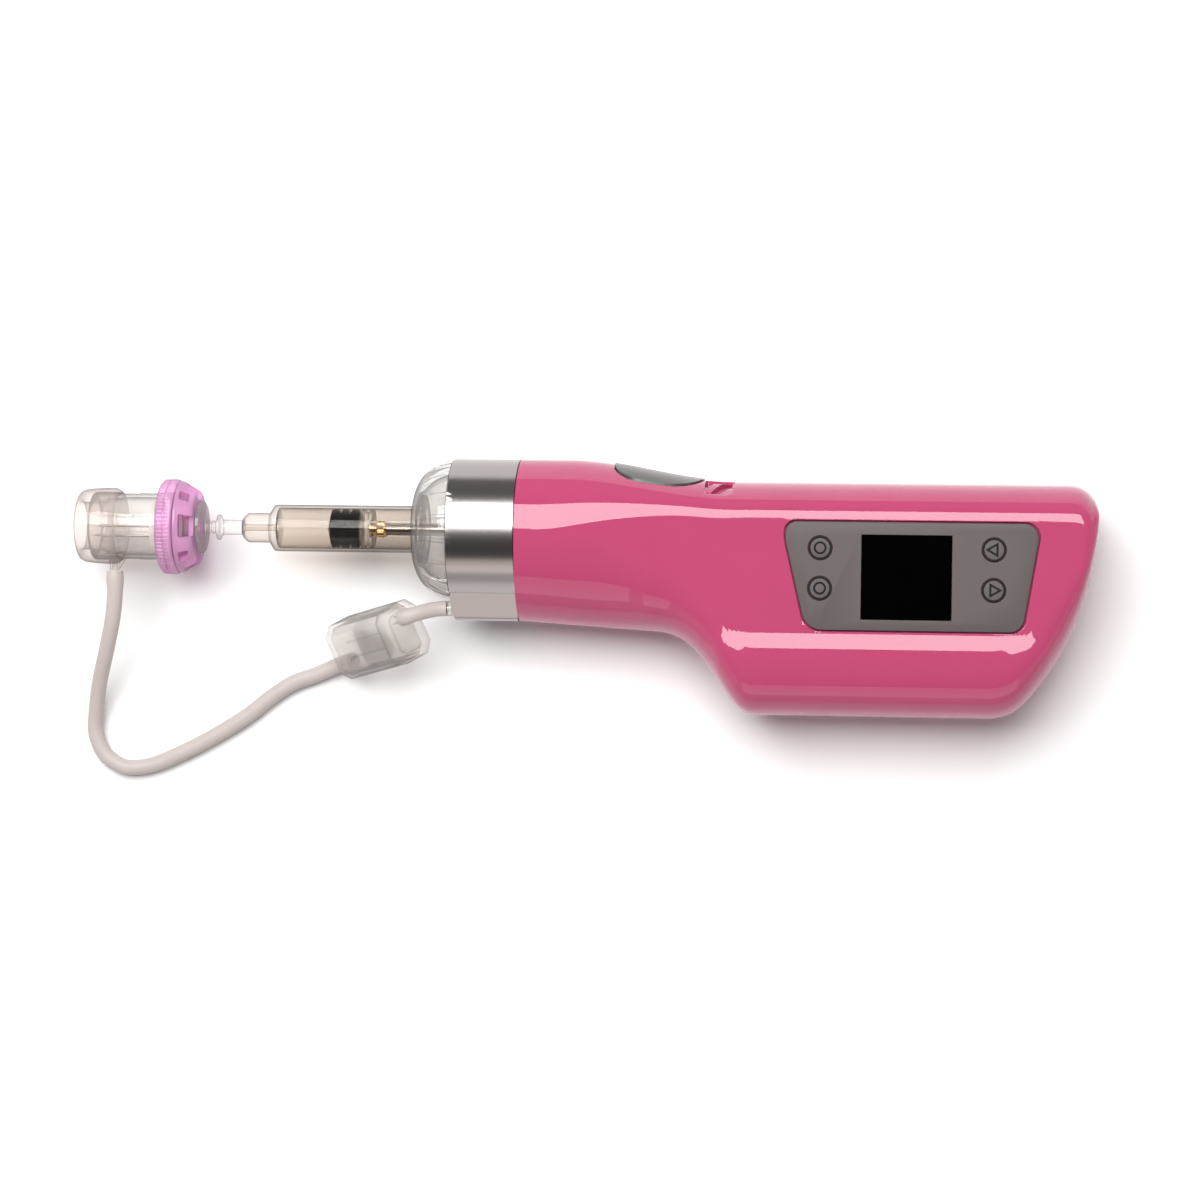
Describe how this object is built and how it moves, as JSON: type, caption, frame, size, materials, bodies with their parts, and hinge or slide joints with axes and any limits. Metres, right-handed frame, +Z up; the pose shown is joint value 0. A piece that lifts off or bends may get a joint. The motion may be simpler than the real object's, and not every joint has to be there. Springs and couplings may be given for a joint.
{
  "type": "cordless vacuum injection gun",
  "caption": "Hand-held cordless injection gun with a motor-driven syringe, a multi-needle suction head, a vacuum hose with an in-line filter and a display panel.",
  "frame": {"origin": "middle of the body's footprint, on the surface that the gun lies on", "axes": "+X along the plunger from the needle end to the closed end, +Y towards the thumb button's side, +Z up out of the display"},
  "size_m": [0.3077, 0.0983, 0.043],
  "materials": {
    "pink": "gloss pink",
    "button": "metallic grey paint",
    "silver": "satin anodised",
    "clear": "clear moulded polycarbonate",
    "silicone": "translucent milky silicone",
    "purple": "translucent purple",
    "nylon": "white acetal",
    "rubber": "black",
    "brass": "polished",
    "steel": "ground stainless",
    "panel": "matt grey overlay",
    "black": "black",
    "board": "green solder mask",
    "cell": "blue sleeve"
  },
  "bodies": {
    "housing": {"shell_front": "pink", "shell_back": "pink", "nose_ring": "silver", "syringe_barrel": "clear", "luer_hub": "clear", "filter_body": "clear", "filter_lid": "clear", "vacuum_port": "clear", "hose_1": "silicone", "hose_2": "silicone", "vacuum_tube": "silicone", "head_rear_cap": "purple", "needle_carrier": "nylon", "drive_frame": "nylon", "rod_bush": "nylon", "filter_membrane": "nylon", "guide_rod": "steel", "screw_bearing": "steel", "drive_gearbox": "steel", "drive_motor": "steel", "pump_motor": "steel", "needle_1": "steel", "needle_2": "steel", "needle_3": "steel", "needle_4": "steel", "needle_5": "steel", "case_screw_1": "steel", "case_screw_2": "steel", "case_screw_3": "steel", "case_screw_4": "steel", "control_panel": "panel", "display_window": "black", "display_module": "black", "trigger_switch": "black", "pump_head": "black", "charge_socket": "black", "key_switch_1": "black", "key_switch_2": "black", "key_switch_3": "black", "key_switch_4": "black", "main_board": "board", "trigger_board": "board", "battery_cell": "cell"},
    "plunger": {"push_rod": "steel", "plunger_tip": "brass", "plunger_holder": "clear", "plunger_stopper": "rubber", "carriage": "nylon"},
    "screw": {"lead_screw": "steel"},
    "trigger": {"trigger_button": "button"},
    "key_1": {"key_1": "panel"},
    "key_2": {"key_2": "panel"},
    "key_3": {"key_3": "panel"},
    "key_4": {"key_4": "panel"},
    "nose_cap": {"nose_cap": "clear"},
    "dial": {"depth_dial": "purple"},
    "head_sleeve": {"suction_cup": "silicone", "head_barrel": "clear"}
  },
  "joints": [
    {"name": "screw_spin", "type": "hinge", "parent": "housing", "child": "screw", "pos_m": [0, 0.0164, 0.0216], "axis": [1, 0, 0], "range_deg": [-2521, 2701]},
    {"name": "plunger_slide", "type": "slide", "parent": "housing", "child": "plunger", "axis": [1, 0, 0], "range_m": [-0.014, 0.015]},
    {"name": "trigger_press", "type": "slide", "parent": "housing", "child": "trigger", "axis": [-0.1822, -0.9833, 0], "range_m": [0, 0.001], "stiffness_N_per_m": 400},
    {"name": "key_1_press", "type": "slide", "parent": "housing", "child": "key_1", "axis": [0, 0, -1], "range_m": [0, 0.0004], "stiffness_N_per_m": 400},
    {"name": "key_2_press", "type": "slide", "parent": "housing", "child": "key_2", "axis": [0, 0, -1], "range_m": [0, 0.0004], "stiffness_N_per_m": 400},
    {"name": "key_3_press", "type": "slide", "parent": "housing", "child": "key_3", "axis": [0, 0, -1], "range_m": [0, 0.0004], "stiffness_N_per_m": 400},
    {"name": "key_4_press", "type": "slide", "parent": "housing", "child": "key_4", "axis": [0, 0, -1], "range_m": [0, 0.0004], "stiffness_N_per_m": 400},
    {"name": "nose_cap_twist", "type": "hinge", "parent": "housing", "child": "nose_cap", "pos_m": [0, 0.0164, 0.0216], "axis": [1, 0, 0], "range_deg": [0, 40]},
    {"name": "depth_dial_turn", "type": "hinge", "parent": "housing", "child": "dial", "pos_m": [0, 0.0164, 0.0216], "axis": [1, 0, 0], "range_deg": [0, 270.1]},
    {"name": "head_sleeve_slide", "type": "slide", "parent": "housing", "child": "head_sleeve", "axis": [1, 0, 0], "range_m": [0, 0.0015]}
  ],
  "couplings": [
    {"joint": "screw_spin", "follows": "plunger_slide", "rad_per_m": 3141.6},
    {"joint": "depth_dial_turn", "follows": "head_sleeve_slide", "rad_per_m": 3141.6}
  ]
}
